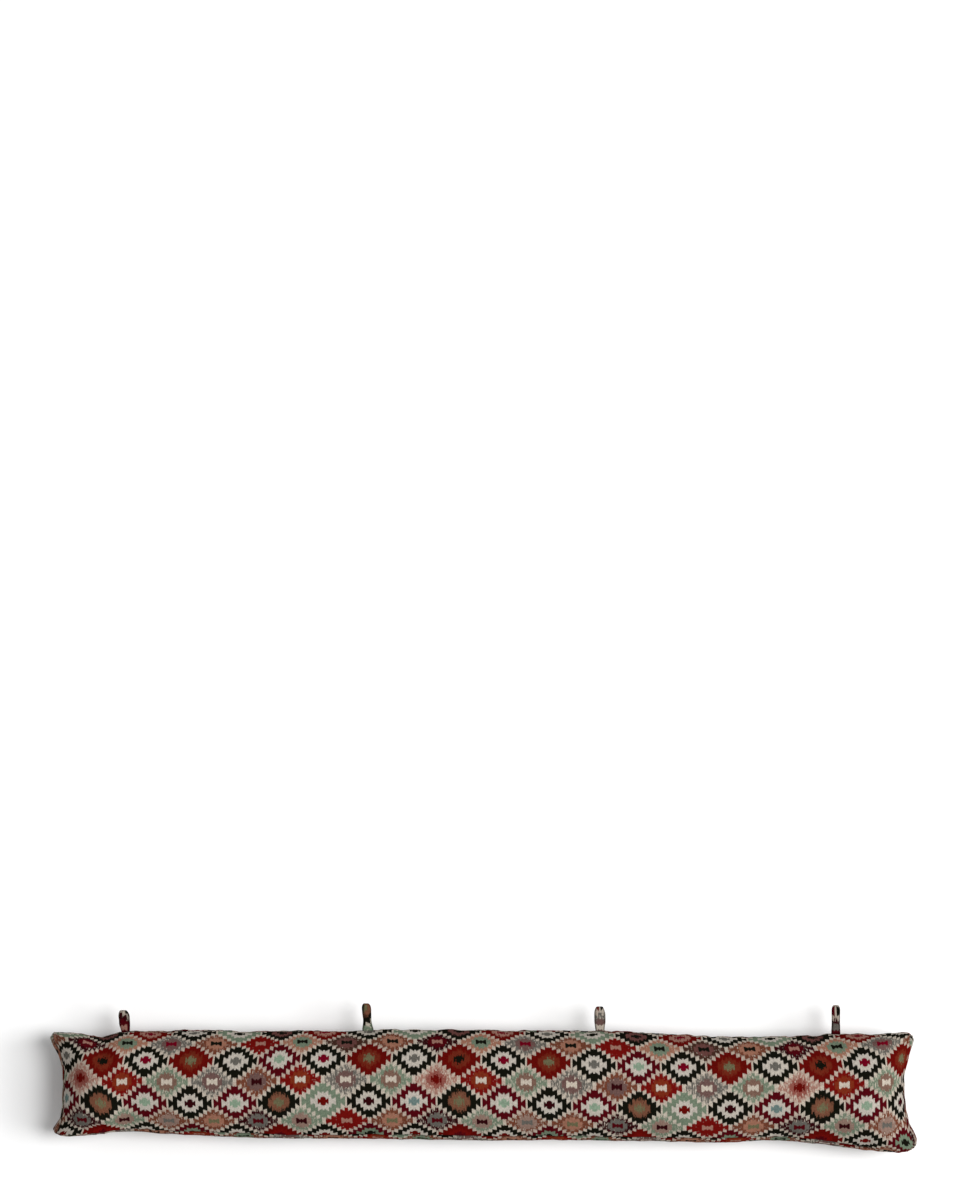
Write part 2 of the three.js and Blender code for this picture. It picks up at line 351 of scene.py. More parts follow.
LARGE_HEART = [(0, 5.6), (2.4, 4.8), (3.1, 1.7), (5.5, 3.8), (5.9, 0)]
SMALL_HALO = [
    (0, 19.0), (1.4, 20.4), (2.1, 15.6), (6.4, 18.2), (7.1, 11.6), (11.4, 14.0), (12.1, 7.8), (16.4, 9.6),
    (17.1, 3.6), (21.6, 6.6), (23.4, 0),
]
SMALL_RING = [
    (0, 16.6), (1.4, 18.2), (2.1, 13.2), (6.4, 15.8), (7.1, 9.6), (11.4, 11.8), (12.1, 5.8), (16.4, 7.4),
    (17.1, 2.2), (22.4, 4.6), (23.1, 0),
]
SMALL_FIELD = [(0, 9.6), (2.4, 11.4), (3.1, 7.8), (7.2, 9.4), (8.1, 4.2), (10.8, 4.6), (11.1, 0)]
SMALL_HEART = [(0, 3.8), (1.4, 1.8), (3.4, 3.2), (5.4, 5.0), (5.9, 0)]
STITCHES = 25  # stitches from the middle of a repeat to its edge
CHART = {"rows": 4.0, "columns": 8.0}
PLAIN_DYES = ("rust", "clay", "scarlet", "rosewood", "pink")  # fields with a plain, frayed outline

# Uneven yarn. STREAK is how fast the streaks change from stitch to stitch. FRAY is how many
# stitches the streaks and the single stitches move a blended outline. MARL is how much ground the
# streaks let through in a marled ring, with the ring's blending, less a least amount.
STREAK = {"along": 0.9, "across": 0.22}
FRAY = {"streaks": 9.0, "stitches": 3.0}
MARL = {"streaks": 4.0, "blended": 1.1, "least": 0.7}

# Over how many stitches the outlines of the small fields and the plain large ones fade.
SOFTNESS = {"small": 1.5, "plain": 2.0}

# Shares: of ring yarn in the halo round a small diamond, by how blended it is and at the least, of
# pink in the rosy ground, of ring yarn in all the ground, and of ribs and picks in the bump.
HALO = {"blended": 0.35, "least": 0.05}
GROUND = {"rosy": 0.22, "ring": 0.06}
RELIEF = {"rib": 0.6, "pick": 0.4, "strength": 0.6}

# The lights: how far each leans from overhead to the right, in degrees, how wide it is and how far
# away, in metres.
LIGHTS = [
    {"name": "key", "slant": 42, "size": 3.2, "away": 6.5},
    {"name": "upper", "slant": 20, "size": 2.3, "away": 6.5},
]
FLOOR_HALF = 6.0  # half the width of the floor, in metres

# The picture: its height in pixels, a pixel's size in millimetres, and how many pixels right of
# the middle and below it the object lies.
PICTURE = {"height": 1200, "pixel": 1.0396, "object_right": 2.35, "object_below": 486.0}
SENSOR = 36.0  # long side of the camera's sensor in millimetres


class CoverSettings(bpy.types.PropertyGroup):
    crown: bpy.props.FloatProperty(
        name="Crown",
        description="Height of the front above the widest outline",
        default=0.055, unit="LENGTH",
    )
    keel: bpy.props.FloatProperty(
        name="Keel",
        description="Depth of the back below the widest outline, before the floor flattens it",
        default=0.057, unit="LENGTH",
    )
    dome: bpy.props.FloatProperty(
        name="End dome",
        description="Length over which the filling thins towards each end seam",
        default=0.047, unit="LENGTH",
    )
    squareness: bpy.props.FloatProperty(
        name="Squareness",
        description="How much the section squares up at the ends",
        default=0.5, subtype="FACTOR",
    )
    top_seam: bpy.props.FloatProperty(
        name="Top seam",
        description="How far round the top edge its seam lies above the widest outline",
        default=math.radians(7), subtype="ANGLE",
    )
    bottom_seam: bpy.props.FloatProperty(
        name="Bottom seam",
        description="The same at the bottom edge",
        default=math.radians(23), subtype="ANGLE",
    )
    end_seam: bpy.props.FloatProperty(
        name="End seams",
        description="The same at both ends",
        default=math.radians(20), subtype="ANGLE",
    )
    seam_depth: bpy.props.FloatProperty(
        name="Seam depth",
        description="How deep the seam is drawn into the filling",
        default=0.0016, unit="LENGTH",
    )
    pucker: bpy.props.FloatProperty(
        name="Pucker",
        description="Height of the puckers beside the seam",
        default=0.0011, unit="LENGTH",
    )
    lump: bpy.props.FloatProperty(
        name="Lumps",
        description="Unevenness of the filling",
        default=0.0009, unit="LENGTH",
    )


class LoopSettings(bpy.types.PropertyGroup):
    strip: bpy.props.FloatProperty(
        name="Strip thickness",
        description="Thickness of the folded strip",
        default=0.0024, unit="LENGTH",
    )
    depth: bpy.props.FloatProperty(
        name="Depth",
        description="Across the two legs, outside to outside",
        default=0.014, unit="LENGTH",
    )
    bight: bpy.props.FloatProperty(
        name="Bight height",
        description="Height of the rounded top of a loop",
        default=0.005, unit="LENGTH",
    )
    tack: bpy.props.FloatProperty(
        name="Stitched length",
        description="How far above the seam the two legs are stitched together",
        default=0.006, unit="LENGTH",
    )
    rise: bpy.props.FloatProperty(
        name="Rise",
        description="Middle of the loops above the widest outline",
        default=0.006, unit="LENGTH",
    )


class ClothSettings(bpy.types.PropertyGroup):
    repeat: bpy.props.FloatProperty(
        name="Repeat along",
        description="Distance between two large diamonds of a row",
        default=0.04625, unit="LENGTH",
    )
    row_repeat: bpy.props.FloatProperty(
        name="Repeat across",
        description="Distance between two rows of large diamonds",
        default=0.0447, unit="LENGTH",
    )
    first_column: bpy.props.FloatProperty(
        name="First column",
        description="Columns of large diamonds from the left end to the middle of the cover",
        default=8.52,
    )
    first_row: bpy.props.FloatProperty(
        name="First row",
        description="Rows from the upper row of large diamonds to the middle of the face",
        default=0.5,
    )
    relief: bpy.props.FloatProperty(
        name="Weave relief",
        description="Height of the yarn's ribs",
        default=0.00035, unit="LENGTH",
    )
    grain: bpy.props.FloatProperty(
        name="Yarn grain",
        description="How much single stitches differ in lightness",
        default=0.35, subtype="FACTOR",
    )
    # Strength of the painted shade in the seam groove and along the loops' edges and feet.
    crease: bpy.props.FloatProperty(
        name="Crease shade",
        description="How much darker the yarn is in the seams and along the edges of the loops",
        default=0.75, subtype="FACTOR",
    )
    ground: bpy.props.FloatVectorProperty(
        name="Ground",
        description="Yarn between the diamonds",
        default=DYES["cream"], size=3, subtype="COLOR",
    )


class StageSettings(bpy.types.PropertyGroup):
    lens: bpy.props.FloatProperty(
        name="Lens",
        description="Focal length of the camera in millimetres",
        default=120.0,
    )
    floor: bpy.props.FloatVectorProperty(
        name="Floor",
        description="Colour of the floor",
        default=(0.86, 0.86, 0.86), size=3, subtype="COLOR",
    )
    key: bpy.props.FloatProperty(
        name="Key light",
        description="Power of the lower light on the right, in watts",
        default=232.0,
    )
    upper: bpy.props.FloatProperty(
        name="Upper light",
        description="Power of the higher light on the right, in watts",
        default=233.0,
    )
    sky: bpy.props.FloatProperty(
        name="Fill light",
        description="Strength of the even light from all sides",
        default=0.46,
    )


class Value:
    """One output of a shader node. Arithmetic on it adds the Math nodes that it stands for."""

    def __init__(self, shader, socket):
        self.shader = shader
        self.socket = socket

    def math(self, operation, *others, clamp=False):
        settings = {"operation": operation, "use_clamp": clamp}
        return self.shader.add("ShaderNodeMath", settings, self, *others)

    def __add__(self, other):
        return self.math("ADD", other)

    def __sub__(self, other):
        return self.math("SUBTRACT", other)

    def __rsub__(self, other):
        return self.shader.add("ShaderNodeMath", {"operation": "SUBTRACT"}, other, self)

    def __mul__(self, other):
        return self.math("MULTIPLY", other)

    def __truediv__(self, other):
        return self.math("DIVIDE", other)

    def __abs__(self):
        return self.math("ABSOLUTE")

    def floor(self):
        return self.math("FLOOR")

    def clamped(self):
        return self.math("ADD", 0.0, clamp=True)


class Shader:
    """A material's node tree, to which add() gives any node that a formula can't."""

    def __init__(self, name):
        self.material = bpy.data.materials.new(name)
        self.material.use_nodes = True
        self.tree = self.material.node_tree
        self.tree.nodes.clear()

    def feed(self, socket, value):
        """Links a node's output to an input, or sets the input to a plain value."""
        if isinstance(value, Value):
            self.tree.links.new(value.socket, socket)
        else:
            socket.default_value = value

    def add(self, kind, settings=None, *values, output=0, **named):
        """A node with its settings, and its inputs by number or by name, as one of its outputs."""
        node = self.tree.nodes.new(kind)
        for key, setting in (settings or {}).items():
            if key == "stops":
                self.set_stops(node.color_ramp, setting)
            elif key == "interpolation":
                node.color_ramp.interpolation = setting
            else:
                setattr(node, key, setting)
        fed = dict(enumerate(values))
        fed.update({key.replace("_", " "): value for key, value in named.items()})
        for key, value in fed.items():
            self.feed(node.inputs[key], value)
        return Value(self, node.outputs[output]) if node.outputs else None

    @staticmethod
    def set_stops(ramp, stops):
        """Gives a colour ramp its stops, of which it has two at first and keeps one."""
        while len(ramp.elements) > 1:
            ramp.elements.remove(ramp.elements[-1])
        for index, (position, colour) in enumerate(stops):
            element = ramp.elements[0] if index == 0 else ramp.elements.new(position)
            element.position = position
            element.color = (*colour, 1.0)

    def parts(self, vector):
        """X and Y of a vector."""
        split = self.add("ShaderNodeSeparateXYZ", None, vector)
        return split, Value(self, split.socket.node.outputs[1])

    def mix(self, share, first, second, blend="MIX"):
        """Two colours mixed by a share."""
        node = self.tree.nodes.new("ShaderNodeMix")
        node.data_type = "RGBA"
        node.blend_type = blend
        for place, value in ((0, share), (6, first), (7, second)):
            self.feed(node.inputs[place], value)
        return Value(self, node.outputs[2])

    def finish(self, **sockets):
        """Ends the tree in a surface with these inputs, and gives back the material."""
        surface = self.add("ShaderNodeBsdfPrincipled", None, **sockets)
        self.add("ShaderNodeOutputMaterial", None, Surface=surface)
        return self.material


def bell(distance, width):
    """A bell curve: one at no distance, and e to the power of minus one at the width."""
    return np.exp(-((distance / width) ** 2))


def s_curve(s):
    """Rises from 0 to 1 with level ends: three squares less two cubes."""
    return s * s * (3 - 2 * s)


def column(table, key, name, values):
    """A table's column at any values of its key: an S-curve from row to row, bent at each row to
    the slope from the row before to the row after."""
    keys = np.array([row[key] for row in table], float)
    levels = np.array([row[name] for row in table], float)
    before = np.maximum(np.arange(len(keys)) - 1, 0)
    after = np.minimum(np.arange(len(keys)) + 1, len(keys) - 1)
    slopes = (levels[after] - levels[before]) / (keys[after] - keys[before])
    values = np.asarray(values, float)
    row = np.clip(np.searchsorted(keys, values, side="right") - 1, 0, len(keys) - 2)
    span = keys[row + 1] - keys[row]
    s = np.clip((values - keys[row]) / span, 0, 1)
    rise = s_curve(s)
    level = levels[row] * (1 - rise) + levels[row + 1] * rise
    leaving = slopes[row] * span * s * (1 - s) ** 2
    arriving = slopes[row + 1] * span * s * s * (1 - s)
    return level + leaving - arriving


def corner_pull(distance, radius):
    """How far a round corner pulls an edge in, at a distance from its tip: radius less the
    height of a circle there."""
    short = np.maximum(radius - distance, 0)
    return radius - np.sqrt(radius * radius - short * short)


def plan(distance, across):
    """Place seen from above, in millimetres: distance runs from the left end, and across from
    -1 to 1. X divides the row between the two end seams, and Y the column between the edges."""
    share = distance / LENGTH

    def row_place(side):
        left = -LENGTH / 2 + column(ENDS, "across", "left", side)
        right = LENGTH / 2 - column(ENDS, "across", "right", side)
        length = right - left
        return left + share * length, share * length, (1 - share) * length

    top_x, top_left, top_right = row_place(1.0)
    bottom_x, bottom_left, bottom_right = row_place(-1.0)
    top = (
        column(EDGES, "x", "top", top_x)
        - corner_pull(top_left, EAR_RADIUS["left_top"])
        - corner_pull(top_right, EAR_RADIUS["right_top"])
    )
    bottom = (
        column(EDGES, "x", "bottom", bottom_x)
        + corner_pull(bottom_left, EAR_RADIUS["left_bottom"])
        + corner_pull(bottom_right, EAR_RADIUS["right_bottom"])
    )
    x = row_place(across)[0]
    return x, (top + bottom) / 2 + across * (top - bottom) / 2


def line_distance(x, y, fold):
    """Distance of points from a line between two ends."""
    along = np.array([fold["x1"] - fold["x0"], fold["y1"] - fold["y0"]], float)
    dx, dy = x - fold["x0"], y - fold["y0"]
    share = np.clip((dx * along[0] + dy * along[1]) / (along @ along), 0, 1)
    return np.hypot(dx - share * along[0], dy - share * along[1])


def fold_depth(x, y, folds):
    """Depth of all folds together: each is a bell curve across its line."""
    return sum(fold["depth"] * bell(line_distance(x, y, fold), fold["width"]) for fold in folds)


def smooth_min(a, b, softness):
    """The smaller of two values, lowered by up to a quarter of the softness where they are close."""
    overlap = np.maximum(softness - np.abs(a - b), 0) / softness
    return np.minimum(a, b) - overlap * overlap * softness / 4


def spaced(count, start, stop, spots, gain, width, steps=4000):
    """count + 1 values from start to stop, closer together around each spot: as many fine steps
    lie between two of them as a bell curve round the spots asks for."""
    fine = np.linspace(start, stop, steps + 1)
    density = 1 + gain * sum(bell(fine - spot, width) for spot in spots)
    filled = np.concatenate([[0], np.cumsum((density[1:] + density[:-1]) / 2)])
    return np.interp(np.linspace(0, filled[-1], count + 1), filled, fine)


def ripple(place, spacing, seed, count=512):
    """Smooth random rise and fall along a line: random heights every spacing, joined by
    S-curves, between -1 and 1."""
    heights = np.random.default_rng(seed).uniform(-1, 1, count)
    step = place / spacing + count // 2
    base = np.floor(step).astype(int) % (count - 1)
    s = s_curve(step - np.floor(step))
    return heights[base] * (1 - s) + heights[base + 1] * s


def lumps(points, size, seed, waves=10, spread=0.4):
    """Uneven filling: plane waves in random directions, of this size give or take the spread."""
    rng = np.random.default_rng(seed)
    total = np.zeros(points.shape[:-1])
    for _ in range(waves):
        direction = rng.normal(size=3)
        waves_across = rng.uniform(1 - spread, 1 + spread) / size
        direction *= math.tau * waves_across / np.linalg.norm(direction)
        total += np.sin(points @ direction + rng.uniform(0, math.tau))
    return total / math.sqrt(waves)


def arc(points, axis):
    """Length along a grid of points in one direction, from zero at the first."""
    steps = np.linalg.norm(np.diff(points, axis=axis), axis=-1)
    zero = np.zeros_like(np.take(steps, [0], axis=axis))
    return np.concatenate([zero, np.cumsum(steps, axis=axis)], axis=axis)


def vertex_normals(points, triangles):
    """Unit normals: the sum of the areas of the faces round each point, as vectors."""
    a, b, c = (points[triangles[:, k]] for k in range(3))
    areas = np.cross(b - a, c - a)
    normals = np.zeros_like(points)
    for k in range(3):
        np.add.at(normals, triangles[:, k], areas)
    return normals / np.maximum(np.linalg.norm(normals, axis=1, keepdims=True), 1e-12)


def make_piece(name, points, faces, coordinates, crease, material, nodes):
    """A mesh object from points, quads, a place on the cloth for each corner, and how much painted
    shade each point gets, from 0 to 1. It rides on the root body and stands for the named nodes."""
    mesh = bpy.data.meshes.new(name)
    mesh.from_pydata(points, [], faces)
    layer = mesh.uv_layers.new(name="cloth")
    layer.data.foreach_set("uv", np.asarray(coordinates, np.float32).ravel())
    mesh.polygons.foreach_set("use_smooth", np.ones(len(faces), bool))
    mesh.materials.append(material)
    mesh.update()
    mesh.validate()
    shade = mesh.attributes.new("crease", "FLOAT", "POINT")
    shade.data.foreach_set("value", np.asarray(crease, np.float32).ravel())
    piece = bpy.data.objects.new(name, mesh)
    bpy.context.scene.collection.objects.link(piece)
    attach(piece, "root")
    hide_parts(*nodes)
    return piece


def axis_offset(steps=2000):
    """Where the cover's own axis lies in the part's frame: the middle of its box there less the
    middle of its outline here."""
    low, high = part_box("cover")
    distance = np.linspace(0, LENGTH, steps + 1)
    bottom = plan(distance, -1.0)[1].min() * MM
    top = plan(distance, 1.0)[1].max() * MM
    return (low.y + high.y - bottom - top) / 2


def cover_grid(settings):
    """Distances of the grid's columns from the left end, and angles of its rows round the section.
    The columns are spaced along the cloth: over a dome, the distance from the end is the dome's
    length times one less the cosine of the turn from the rim."""
    dome = settings.dome / MM
    cloth_length = 2 * DOME_CLOTH + LENGTH - 2 * dome
    end_seam = DOME_CLOTH * settings.end_seam / (math.pi / 2)
    run = spaced(start=0, stop=cloth_length, spots=[end_seam, cloth_length - end_seam], **ALONG_GRID)
    to_end = np.minimum(run, cloth_length - run)
    from_end = dome * (1 - np.cos(np.minimum(to_end / DOME_CLOTH, 1) * math.pi / 2))
    from_end += np.maximum(to_end - DOME_CLOTH, 0)
    distance = np.where(run < cloth_length / 2, from_end, LENGTH - from_end)
    seams = [settings.bottom_seam - math.pi / 2, math.pi / 2 - settings.top_seam]
    angle = spaced(start=-math.pi / 2, stop=math.pi / 2, spots=seams, **ROUND_GRID)
    return distance, angle


def cover_sheets(settings, distance, angle):
    """The front and back as grids of points, in millimetres. Across the cover the section is a
    cosine of the angle, squared up near the ends; along it the filling thins as an ellipse over
    the dome; the back is cut off softly by the floor."""
    columns, angles = distance[:, None], angle[None, :]
    x, y = plan(columns, np.sin(angles))
    from_end = np.minimum(columns, LENGTH - columns)
    thinning = 1 - np.minimum(from_end / (settings.dome / MM), 1)
    square = settings.squareness * bell(from_end, SQUARE_REACH)
    section = np.cos(angles) * (1 + square * np.sin(angles) ** 2)
    fullness = np.maximum(section, 0) * np.sqrt(1 - thinning**2)
    fullness[:, [0, -1]] = 0
    fullness[[0, -1], :] = 0
    crown = settings.crown / MM * fullness
    sunk = fold_depth(x, y, FOLDS) * np.minimum(2 * fullness, 1) ** 2
    front = LIFT / MM + np.maximum(crown - sunk, crown / 2)
    back = LIFT / MM - smooth_min(settings.keel / MM * fullness, LIFT / MM, FLOOR_BLEND)
    shape = np.broadcast_to(x, fullness.shape)
    return np.stack([shape, y, front], -1), np.stack([shape, y, np.maximum(back, 0)], -1)


def gather(front, back):
    """Values of both sheets in one list: all of the front, then the back within its rim, because
    the two share the rim's points."""
    inner = back[1:-1, 1:-1]
    return np.concatenate([front.reshape(-1, *front.shape[2:]), inner.reshape(-1, *inner.shape[2:])])


def grid_corners(grid):
    """The four corners of every quad of a grid, in their order round the quad."""
    return np.stack([grid[:-1, :-1], grid[1:, :-1], grid[1:, 1:], grid[:-1, 1:]], 2)


def sheet_quads(columns, rows):
    """Quads of the front and back sheets, as places in the gathered list of points."""
    front = np.arange(columns * rows).reshape(columns, rows)
    back = front.copy()
    inside = (columns - 2, rows - 2)
    back[1:-1, 1:-1] = columns * rows + np.arange(inside[0] * inside[1]).reshape(inside)
    return grid_corners(front).reshape(-1, 4), grid_corners(back).reshape(-1, 4)[:, ::-1]


def sheet_places(front, back):
    """Places on the cloth for the front and back sheets: lengths along each row from the middle
    of the cover and along each column from the middle of the face."""
    places = []
    middle_row = front.shape[1] // 2
    middle_column = front.shape[0] // 2
    for sheet in (front, back):
        along = arc(sheet, 0)
        along -= along[[middle_column], :]
        across = arc(sheet, 1)
        across -= across[:, [middle_row]]
        places.append((along, across))
    return places


def seam_distance(settings, distance, angle):
    """Distances from the seam on the front and back sheets, in millimetres and above zero on the
    front panel, and where an end's seam is the nearest one. A distance is the section's radius
    times the turn from the rim to a point, less the turn from the rim to the seam."""
    from_end = np.minimum(distance, LENGTH - distance)[:, None]
    end_turn = np.arccos(np.clip(1 - from_end / (settings.dome / MM), -1, 1))
    side_turn = (math.pi / 2 - np.abs(angle))[None, :]
    to_top = (1 + np.sin(angle))[None, :] / 2
    seam = settings.bottom_seam * (1 - to_top) + settings.top_seam * to_top
    seam = seam * (1 - SEAM_DROP["share"] * bell(from_end, SEAM_DROP["reach"]))
    front = SECTION_RADIUS * np.minimum(side_turn - seam, end_turn - settings.end_seam)
    back = -SECTION_RADIUS * (seam + np.minimum(side_turn, end_turn))
    return front, back, end_turn - settings.end_seam < side_turn - seam


def swelled(settings, points, normals, from_seam, beside):
    """Points moved along their normals: in along the groove of the seam, out in a ridge on both
    sides of it, to and fro in puckers that fade away from it, and over the lumps of the filling.
    The strip that rests on the floor stays where it is."""
    relief = SEAM_RELIEF
    x, y = points[:, 0], points[:, 1]
    ear_gap = np.minimum.reduce([np.hypot(x - ear_x, y - ear_y) for ear_x, ear_y in EAR_TIPS])
    loop_gap = np.minimum.reduce([np.abs(x - loop["x"]) for loop in LOOPS])
    at_ear = bell(ear_gap, relief["ear_reach"])
    at_loop = bell(loop_gap, relief["loop_reach"]) * (y > 0)
    groove = bell(from_seam, relief["groove"]) * (1 - at_loop)
    ridge = bell(np.abs(from_seam) - relief["ridge_place"], relief["ridge_width"])
    fading = np.exp(-np.abs(from_seam) / relief["pucker_reach"])
    fading *= 1 - bell(from_seam, relief["pucker_start"])
    puckers = sum(
        row["share"] * ripple(beside + row["slant"] * from_seam, row["spacing"], row["seed"])
        for row in PUCKERS
    )
    unevenness = sum(row["share"] * lumps(points, row["size"], row["seed"]) for row in LUMPS)
    swell = (
        -settings.seam_depth / MM * groove
        + relief["ridge"] * ridge
        + settings.pucker / MM * puckers * fading * (1 + relief["ear_gain"] * at_ear)
        + settings.lump / MM * unevenness
    )
    free = np.clip(points[:, 2] / RESTING_HEIGHT, 0, 1)
    moved = points + normals * (swell * free)[:, None]
    moved[:, 2] = np.maximum(moved[:, 2], 0)
    return moved


def front_weave(front, along, across):
    """Places on the front panel's cloth: lengths over the sheet, less the drift of the weave and
    the slip at the upper left ear, which is a bell curve both ways."""
    x, y = front[:, :, 0], front[:, :, 1]
    to_top = np.clip((y - TOP_ROW["start"]) / (TOP_ROW["full"] - TOP_ROW["start"]), 0, 1) ** 2
    left = column(PATTERN_DRIFT, "x", "left", x) - to_top * column(PATTERN_DRIFT, "x", "top_right", x)
    slip = SLIP["shift"] * bell(x - SLIP["x"], SLIP["along"]) * bell(y - SLIP["y"], SLIP["across"])
    return np.stack([along - slip + left, across - column(PATTERN_DRIFT, "x", "up", x)], -1)


def turned_weave(places, distance, angle, at_end, below):
    """Places on the back panel's cloth for the front sheet, whose lowest strip belongs to it: the
    back's lengths at the rim, run on by the front's lengths from there."""
    (front_along, front_across), (back_along, back_across) = places
    on_right = (distance > LENGTH / 2)[:, None]
    rim_along = np.where(on_right, back_along[-1] + front_along[-1], back_along[0] + front_along[0])
    rim_top = back_across[:, [-1]] + front_across[:, [-1]]
    rim_bottom = back_across[:, [0]] + front_across[:, [0]]
    rim_across = np.where(angle > 0, rim_top, rim_bottom)
    along = np.where(at_end & below, rim_along - front_along, front_along)
    across = np.where(at_end, front_across, rim_across - front_across)
    return np.stack([along, across], -1)


def build_cover(context):
    """The front and back sheets, joined at the rim and swelled. Each face of the front sheet has
    the front panel's cloth where it lies above the seam, and the back panel's below it. The weave
    of the back panel is out of step."""
    settings = context.scene.excluder_cover
    distance, angle = cover_grid(settings)
    front, back = cover_sheets(settings, distance, angle)
    front_quads, back_quads = sheet_quads(*front.shape[:2])
    quads = np.concatenate([front_quads, back_quads])
    front_side, back_side, at_end = seam_distance(settings, distance, angle)
    from_seam = gather(front_side, back_side)
    places = sheet_places(front, back)
    beside = gather(*(
        np.where(at_end, across + APART["ends"], along + APART["edges"] * np.sign(angle))
        for along, across in places
    ))

    points = gather(front, back)
    triangles = np.concatenate([quads[:, [0, 1, 2]], quads[:, [0, 2, 3]]])
    points = swelled(settings, points, vertex_normals(points, triangles), from_seam, beside)

    front_places = front_weave(front, *places[0]).reshape(-1, 2)
    turned_places = turned_weave(places, distance, angle, at_end, front_side < SEAM_TOLERANCE)
    back_places = gather(turned_places, np.stack(places[1], -1)) + np.array(BACK_PHASE)
    on_front = from_seam[front_quads].mean(1) > 0
    corner_places = np.concatenate([
        np.where(on_front[:, None, None], front_places[front_quads], back_places[front_quads]),
        back_places[back_quads],
    ])
    # Painted shade along the seam's groove.
    crease = bell(from_seam, SEAM_RELIEF["groove"])
    cover = make_piece(
        "cover_cloth", points * MM + np.array([0, axis_offset(), 0]), quads.tolist(),
        corner_places * MM, crease, kilim_cloth(context), ["cover"],
    )
    return cover


def nearest_diamond(columns, rows):
    """The diamond whose middle is nearest: how far a stitch lies beside that middle, as a share of
    the half repeat, how far above or below it, in stitches, and the diamond's place in its chart,
    from 0 to 1."""
    middle_column = (columns + 0.5).floor()
    middle_row = (rows + 0.5).floor()
    sideways = abs(columns - middle_column) * 2.0
    upward = abs(rows - middle_row) * (2.0 * STITCHES)
    kind = middle_row.math("FLOORED_MODULO", CHART["rows"]) * CHART["columns"]
    kind = kind + middle_column.math("FLOORED_MODULO", CHART["columns"])
    return sideways, upward, (kind + 0.5) / (CHART["rows"] * CHART["columns"])


def inside(outline, sideways, upward, softness=1.0):
    """How much of a stitch lies in an outline: the half outline's height there less the stitch's
    distance from the middle line, over the softness, from 0 to 1."""
    stops = [(x / STITCHES, (up / STITCHES,) * 3) for x, up in outline]
    ramp = {"stops": stops, "interpolation": "LINEAR"}
    height = sideways.shader.add("ShaderNodeValToRGB", ramp, sideways) * float(STITCHES)
    reach = upward.math("MAXIMUM", softness / 2)
    return ((height - reach) / softness + 0.5).clamped()


def charted(colours, kind):
    """One of a chart's colours, by a diamond's place in the chart."""
    stops = [(index / len(colours), colour) for index, colour in enumerate(colours)]
    return kind.shader.add("ShaderNodeValToRGB", {"stops": stops, "interpolation": "CONSTANT"}, kind)


def dye(chart, layer, kind):
    """The yarn of one layer of each diamond: 0 is the ring, 1 the field and 2 the heart."""
    return charted([DYES[entry[layer]] for row in chart for entry in row], kind)


def amount(chart, level, kind):
    """A share for each diamond, worked out from its entry in the chart."""
    return charted([(float(level(entry)),) * 3 for row in chart for entry in row], kind)


def small_diamonds(columns, rows, streak, fray, ground):
    """Shares and yarns of the small diamonds, from the halo to the heart. In a marled ring the yarn
    gives way to the ground along the streaks."""
    sideways, upward, kind = nearest_diamond(columns, rows)
    ring = dye(SMALL_ROWS, 0, kind)
    blended = amount(SMALL_ROWS, lambda entry: entry[3], kind)
    bold = amount(SMALL_ROWS, lambda entry: entry[0] == "pink", kind)
    marled = ((streak - 0.5) * MARL["streaks"] + blended * MARL["blended"] - MARL["least"]).clamped()
    frayed = upward + fray * blended
    heart = inside(SMALL_HEART, sideways, upward)
    heart = heart + (inside(LARGE_HEART, sideways, frayed) - heart) * bold
    halo = inside(SMALL_HALO, sideways, frayed) * (blended * HALO["blended"] + HALO["least"])
    return ring, [
        (halo, ring),
        (inside(SMALL_RING, sideways, upward), ring.shader.mix(marled, ring, ground)),
        (inside(SMALL_FIELD, sideways, frayed, SOFTNESS["small"]), dye(SMALL_ROWS, 1, kind)),
        (heart, dye(SMALL_ROWS, 2, kind)),
    ]


def large_diamonds(columns, rows, fray):
    """Shares and yarns of the large diamonds, from the ring to the heart, and where the ground
    beside them is rosy. A field is winged, wide or plain, by its dyes."""
    sideways, upward, kind = nearest_diamond(columns, rows)
    wide = amount(LARGE_ROWS, lambda entry: entry[0] == "oxblood", kind)
    plain = amount(LARGE_ROWS, lambda entry: entry[1] in PLAIN_DYES, kind)
    rosy = amount(LARGE_ROWS, lambda entry: entry[0] in ("oxblood", "red"), kind)
    frayed = upward + fray * plain
    winged_field = inside(WINGED_FIELD, sideways, upward)
    wide_field = inside(WIDE_FIELD, sideways, upward)
    plain_field = inside(PLAIN_FIELD, sideways, frayed, SOFTNESS["plain"])
    field = winged_field + (wide_field - winged_field) * wide
    field = field + (plain_field - field) * plain
    return rosy, [
        (inside(LARGE_RING, sideways, upward), dye(LARGE_ROWS, 0, kind)),
        (field, dye(LARGE_ROWS, 1, kind)),
        (inside(LARGE_HEART, sideways, frayed), dye(LARGE_ROWS, 2, kind)),
    ]


